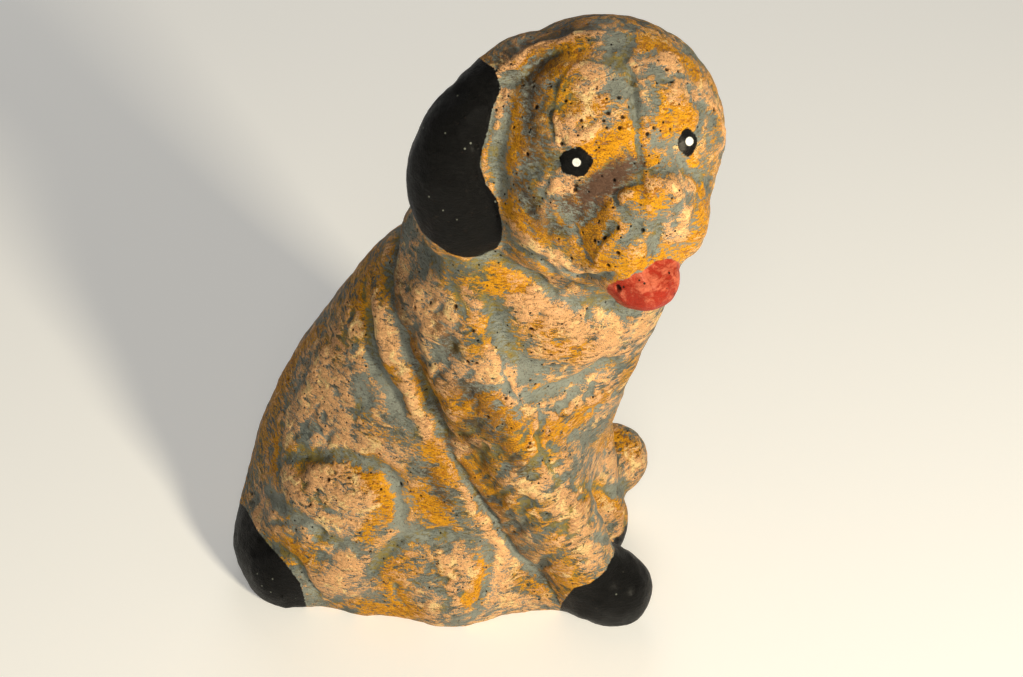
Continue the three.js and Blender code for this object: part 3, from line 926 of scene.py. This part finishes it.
skin = column(clay.data.vertices, "co", 3) / MM
surface = finder_of(skin)
sunk = np.zeros(len(skin))
for centre, normal, radius in pits:
    for point, i, far in surface.find_range(centre, 1.05 * radius):
        depth = math.sqrt(max(0, 1 - (far / radius) ** 2))
        skin[i] -= np.array(normal) * (PIT_DEPTH * radius * depth)
        sunk[i] = max(sunk[i], depth)
clay.data.vertices.foreach_set("co", (skin * MM).ravel())
clay.data.update()
store("pit", sunk)
clay.data.calc_loop_triangles()
print("triangles", len(clay.data.loop_triangles))

# %% [markdown]
# ## Paint
# One material holds the whole paint job, in the order it was put on: slate ground coat, orange and then
# peach dragged over the high places with a nearly dry brush, black and red by hand, and a thin clear
# varnish over everything. Dry-brushing breaks up into grains, because the brush only touches the tips of
# the rough cast skin, so each coat's edge is cut by a fine noise. A painted image is the usual way to make
# such a finish, but noise needs no unwrapping, has no seams and stays sharp from close by.

# %% Helpers for the material
def linear(code):
    """Linear colour of an sRGB hex code."""
    channels = [int(code[i : i + 2], 16) / 255 for i in (1, 3, 5)]
    bent = [c / 12.92 if c <= 0.04045 else ((c + 0.055) / 1.055) ** 2.4 for c in channels]
    return (*bent, 1)


def per_mm(size):
    """Noise scale that gives features of a size in millimetres."""
    return 1 / (size * MM)


paint = bpy.data.materials.new("dry_brushed_varnished_concrete")
paint.use_nodes = True
graph = paint.node_tree
graph.nodes.clear()


def add(kind, inputs=None, **settings):
    """Adds a node with its settings, and sets or links its inputs."""
    made = graph.nodes.new(kind)
    for name, value in settings.items():
        setattr(made, name, value)
    for name, value in (inputs or {}).items():
        if isinstance(value, bpy.types.NodeSocket):
            graph.links.new(value, made.inputs[name])
        else:
            made.inputs[name].default_value = value
    return made.outputs


fields = {
    name: add("ShaderNodeAttribute", attribute_name=name)["Fac"] for name in [*AREAS, "pit"]
}
print("material reads", sorted(fields))

# %% [markdown]
# ## Grain of the paint
# A brush leaves marks at several sizes at once, so the paint is cut up by several noises: specks and grains
# of half a millimetre, bristle marks and ripples drawn out across the fur, patches the size of a
# fingertip, and slow clouds where one coat gives way to another. The finest are drawn coarser than real, as
# they would vanish in a picture of the whole figure.

# %% Noises at the sizes the paint shows
SPREAD = 0.12  # how far the noise strays from its middle value of a half
place = add("ShaderNodeTexCoord")["Object"]
across_fur = add("ShaderNodeMapping", {"Vector": place, "Rotation": (0.5, 0.3, 0.2),
                                       "Scale": (0.6, 0.75, 1.9)})[0]
# Size in millimetres, detail, roughness, distortion, and the space that it is drawn in
NOISES = {
    "speck": (0.42, 1.0, 0.5, 0.0, place),
    "grain": (0.5, 2.0, 0.7, 0.0, place),
    "bristle": (1.9, 5.0, 0.72, 0.6, across_fur),
    "ripple": (4.5, 1.5, 0.5, 1.2, across_fur),
    "patch": (8, 4.0, 0.65, 1.0, place),
    "cloud": (30, 2.0, 0.5, 0.0, place),
}
for name, (size, detail, rough, warp, space) in NOISES.items():
    raw = add("ShaderNodeTexNoise", {"Vector": space, "Scale": per_mm(size), "Detail": detail,
                                     "Roughness": rough, "Distortion": warp})[0]
    fields[name] = add("ShaderNodeMath", {0: raw, 1: 1 / SPREAD, 2: -0.5 / SPREAD},
                       operation="MULTIPLY_ADD")[0]
for name in ("bristle", "ripple"):
    fields["fur_" + name] = add("ShaderNodeMath", {0: fields[name], 1: fields["furry"]},
                                operation="MULTIPLY")[0]
print("noises", list(NOISES))

# %% [markdown]
# ## Coats
# Every coat is the same step: some fields are added up, and where their sum rises past a threshold, the
# coat covers what lies under it. A narrow range from low to high gives the hard broken edge of dry-brushed
# paint, and a wide one the soft edge of a thin wash.

# %% Cover of a coat
def blend(**weights):
    """Sum of named fields times their weights."""
    total = 0.0
    for name, weight in weights.items():
        total = add("ShaderNodeMath", {0: fields[name], 1: weight, 2: total},
                    operation="MULTIPLY_ADD")[0]
    return total


def cover(low, high, **weights):
    """How much a coat covers, from 0 to 1, as the blend of some fields goes from low to high."""
    return add("ShaderNodeMapRange", {"Value": blend(**weights), "From Min": low, "From Max": high},
               interpolation_type="SMOOTHSTEP")[0]


def painted(colour, *coats):
    """A colour with coats over it in order, each being (its colour, how much it covers)."""
    for coat, covered in coats:
        colour = add("ShaderNodeMix", {0: covered, 6: colour, 7: coat}, data_type="RGBA")[2]
    return colour


fields["lift"] = blend(raised=0.5, patch=0.5, bristle=0.85, fur_ripple=0.6)
fields["orange_coat"] = cover(-0.35, 0.4, lift=0.95, cloud=0.3, orange=1.3, grain=0.4)
fields["peach_coat"] = cover(0.3, 0.85, lift=1, cloud=-0.3, peach=1.3, grain=0.55)
fields["specks"] = cover(1.05, 1.5, speck=1)
# Painted shade in the small hollows of the fur and the grain, where the bump sinks.
fields["dents"] = cover(0.75, 1.9, fur_bristle=-1.0, fur_ripple=-0.9, grain=-0.5)
# Painted shade: a brown coat along those strokes, broken up by the grain.
fields["wash"] = cover(0.5, 1.4, umber=1.3, bristle=0.7, grain=0.5)
print("covers", sorted(fields.keys() - AREAS.keys() - NOISES.keys()))

# %% Ground, dry brushing, painted shade and stain
SLATE, SLATE_DEEP, OLIVE = "#83877D", "#555D5B", "#81743F"
ORANGE, RUST, PEACH, CREAM, TAN = "#DC9A16", "#9E6218", "#E6B07A", "#F2D090", "#C49266"
# The two dark browns after the specks' colour are painted shade, in small hollows and on sides turned from
# the light.
SPECK_DARK, GRIME, UMBER, STAIN = "#33291F", "#3E3626", "#4A3320", "#62493A"

ground = painted(
    linear(SLATE),
    (linear(SLATE_DEEP), cover(-0.6, 0.9, bristle=0.6, cloud=0.6)),
    (linear(OLIVE), cover(-0.1, 0.9, cloud=0.5, patch=0.5, bristle=0.5)),
)
amber = painted(linear(RUST), (linear(ORANGE), cover(-1.0, 0.3, bristle=1)))
flesh = painted(
    linear(PEACH),
    (linear(TAN), cover(0.2, 1.5, bristle=0.8, cloud=0.5)),
    (linear(CREAM), cover(0.2, 1.4, patch=1, bristle=-0.6)),
)
colour = painted(
    ground,
    (amber, fields["orange_coat"]),
    (flesh, fields["peach_coat"]),
    (linear(SPECK_DARK), blend(specks=0.75)),
    # Painted shade, dark olive brown in the small hollows.
    (linear(GRIME), blend(dents=0.68)),
    # Painted shade in brown along the strokes of shade.
    (linear(UMBER), blend(wash=0.72)),
    (linear(STAIN), cover(-1.4, 1.8, stain=1, bristle=2.4, grain=1)),
)
print("nodes up to the brushed coats", len(graph.nodes))

# %% [markdown]
# ## Black, red and white
# The ears, paws, tail, eyes and tongue are painted by hand with a loaded brush, so these coats are solid
# and only their edges waver. Small chips in the black show the slate grey under it.

# %% Black, red and white by hand
# The grey is a painted reflection on the far eye.
BLACK, IRIS, WHITE = "#050505", "#4C4A45", "#F2F0EA"
# The last red is painted shade, for the tongue's hollows.
RED, RED_WORN, RED_DEEP = "#9C2A17", "#C8664A", "#6A1C12"
CHIP_CELL = 6  # spacing of the chips; each is about 1 mm wide
CHIP_EDGE, CHIP_MIDDLE = 0.5, 0.3

fields["black_parts"] = fields["ears"]
for name in ("paws", "tail", "eyes"):
    fields["black_parts"] = add("ShaderNodeMath", {0: fields["black_parts"], 1: fields[name]},
                                operation="MAXIMUM")[0]
fields["waver"] = blend(bristle=0.22, grain=0.06)
fields["black_coat"] = cover(-0.15, 0.15, black_parts=1, waver=1)
fields["red_coat"] = cover(-0.15, 0.15, tongue=1, waver=0.8)
fields["to_chip"] = add("ShaderNodeTexVoronoi", {"Vector": place, "Scale": per_mm(CHIP_CELL)})["Distance"]
fields["chipped"] = cover(CHIP_EDGE / CHIP_CELL, CHIP_MIDDLE / CHIP_CELL, to_chip=1)
black = painted(linear(BLACK), (linear(SLATE), blend(chipped=0.7)))
red = painted(
    linear(RED),
    (linear(RED_WORN), cover(-0.4, 1.4, patch=1, bristle=0.5)),
    # Painted shade: darker red where the skin lies deep, in the tongue's crack and along the mouth.
    (linear(RED_DEEP), cover(0.25, 0.9, deep=1)),
)
colour = painted(
    colour,
    (black, fields["black_coat"]),
    # Painted reflection on the far eye.
    (linear(IRIS), cover(-0.3, 1.2, iris=1, bristle=0.3)),
    (red, fields["red_coat"]),
    (linear(WHITE), cover(-0.1, 0.15, glints=1)),
)
print("nodes up to the hand-painted parts", len(graph.nodes))

# %% [markdown]
# ## Holes and varnish
# Between the modelled pits lie pinholes too small to model, drawn as dots of painted shade that also dent
# the bump.
# The varnish is thin and old: a satin sheen over the brushed coats and a little more gloss on the black and
# the red, which lie thicker and fill the grain.

# %% Pits and pinholes, with painted shade
PIN_CELL, PIN_RADIUS, PIN_SHARE = 4.2, 0.55, 0.8  # spacing, radius, and the share of cells with a hole
# Both colours are painted shade, in the pits and in the pinholes.
PIT_DARK, PIN_DARK = "#120E0B", "#1A1512"
# Painted shade, deepest at the bottom of each modelled pit.
fields["in_pit"] = cover(0.3, 0.85, pit=1)
cells = add("ShaderNodeTexVoronoi", {"Vector": place, "Scale": per_mm(PIN_CELL)})
fields["to_pin"] = cells["Distance"]
pin_dots = cover(PIN_RADIUS / PIN_CELL, 0.6 * PIN_RADIUS / PIN_CELL, to_pin=1)
lot = add("ShaderNodeSeparateColor", {0: cells["Color"]})[0]
kept = add("ShaderNodeMath", {0: lot, 1: PIN_SHARE}, operation="LESS_THAN")[0]
fields["pins"] = add("ShaderNodeMath", {0: pin_dots, 1: kept}, operation="MULTIPLY")[0]
# Painted shade: dark in the modelled pits and the pinholes.
colour = painted(colour, (linear(PIT_DARK), blend(in_pit=0.92)), (linear(PIN_DARK), fields["pins"]))
print("nodes up to the holes", len(graph.nodes))

# %% Fine surface and varnish
height = blend(
    grain=0.08, bristle=0.1, fur_bristle=0.3, fur_ripple=0.55, specks=-0.12,
    peach_coat=0.05, orange_coat=0.04, black_coat=0.05, pins=-0.5,
)
bump = add("ShaderNodeBump", {"Height": height, "Strength": 0.8, "Distance": MM})[0]
thick = add("ShaderNodeMath", {0: fields["black_coat"], 1: fields["red_coat"]}, operation="MAXIMUM")[0]
roughness = add("ShaderNodeMapRange", {"Value": thick, "To Min": 0.6, "To Max": 0.42})[0]
shader = add("ShaderNodeBsdfPrincipled", {
    "Base Color": colour,
    "Roughness": roughness,
    "Normal": bump,
    "Coat Weight": 0.04,
    "Coat Roughness": 0.3,
    "Specular IOR Level": 0.13,
})[0]
add("ShaderNodeOutputMaterial", {"Surface": shader})
clay.data.materials.clear()
clay.data.materials.append(paint)
only(clay)
bpy.ops.object.shade_smooth()
print("nodes", len(graph.nodes))

# %% [markdown]
# ## Studio
# A pale floor, a faint even surround and one lamp low in front, so that the folds throw shade and the back
# and the crown fall away into it, as in the photo. A wide weak lamp fills in from the camera's side, and
# another shows the side that the photo hides.

# %% Floor and lights
bpy.ops.object.select_all(action="DESELECT")
bpy.ops.mesh.primitive_plane_add(size=6)
floor = bpy.context.object
floor.name = "floor"
FLOOR_PALE, FLOOR_GLOW = "#F4F4F2", 0.2  # the glow keeps the floor pale out of the lamps' reach
floor_paint = bpy.data.materials.new("pale_matt_floor_paper")
floor_paint.use_nodes = True
floor_inputs = floor_paint.node_tree.nodes["Principled BSDF"].inputs
floor_inputs["Base Color"].default_value = linear(FLOOR_PALE)
floor_inputs["Roughness"].default_value = 0.9
floor_inputs["Emission Color"].default_value = linear(FLOOR_PALE)
floor_inputs["Emission Strength"].default_value = FLOOR_GLOW
floor.data.materials.append(floor_paint)


def lamp(name, azimuth, elevation, far, size, power, tint):
    """A square lamp that faces the figure, from angles in degrees, a distance and a size in metres."""
    light = bpy.data.lights.new(name, "AREA")
    light.size = size
    light.energy = power
    light.color = linear(tint)[:3]
    made = bpy.data.objects.new(name, light)
    a, e = math.radians(azimuth), math.radians(elevation)
    toward = Vector((math.sin(a) * math.cos(e), -math.cos(a) * math.cos(e), math.sin(e)))
    made.location = AIM * MM + toward * far
    made.rotation_euler = toward.to_track_quat("Z", "Y").to_euler()
    scene.collection.objects.link(made)


lamp("key", -38, 19, 1.6, 0.22, 34, "#FFF3D8")
lamp("fill", -74, 34, 2.0, 0.7, 11, "#FFF6E6")
lamp("back", 110, 32, 2.0, 1.0, 7, "#FFFAF2")
world = bpy.data.worlds.new("studio")
scene.world = world
world.use_nodes = True
backdrop = world.node_tree.nodes["Background"].inputs
backdrop["Color"].default_value = linear("#EEF1F4")
backdrop["Strength"].default_value = 0.11
scene.view_settings.view_transform = "Standard"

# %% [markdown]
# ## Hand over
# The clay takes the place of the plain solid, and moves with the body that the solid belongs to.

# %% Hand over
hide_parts("seated_puppy")
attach(clay, "root")
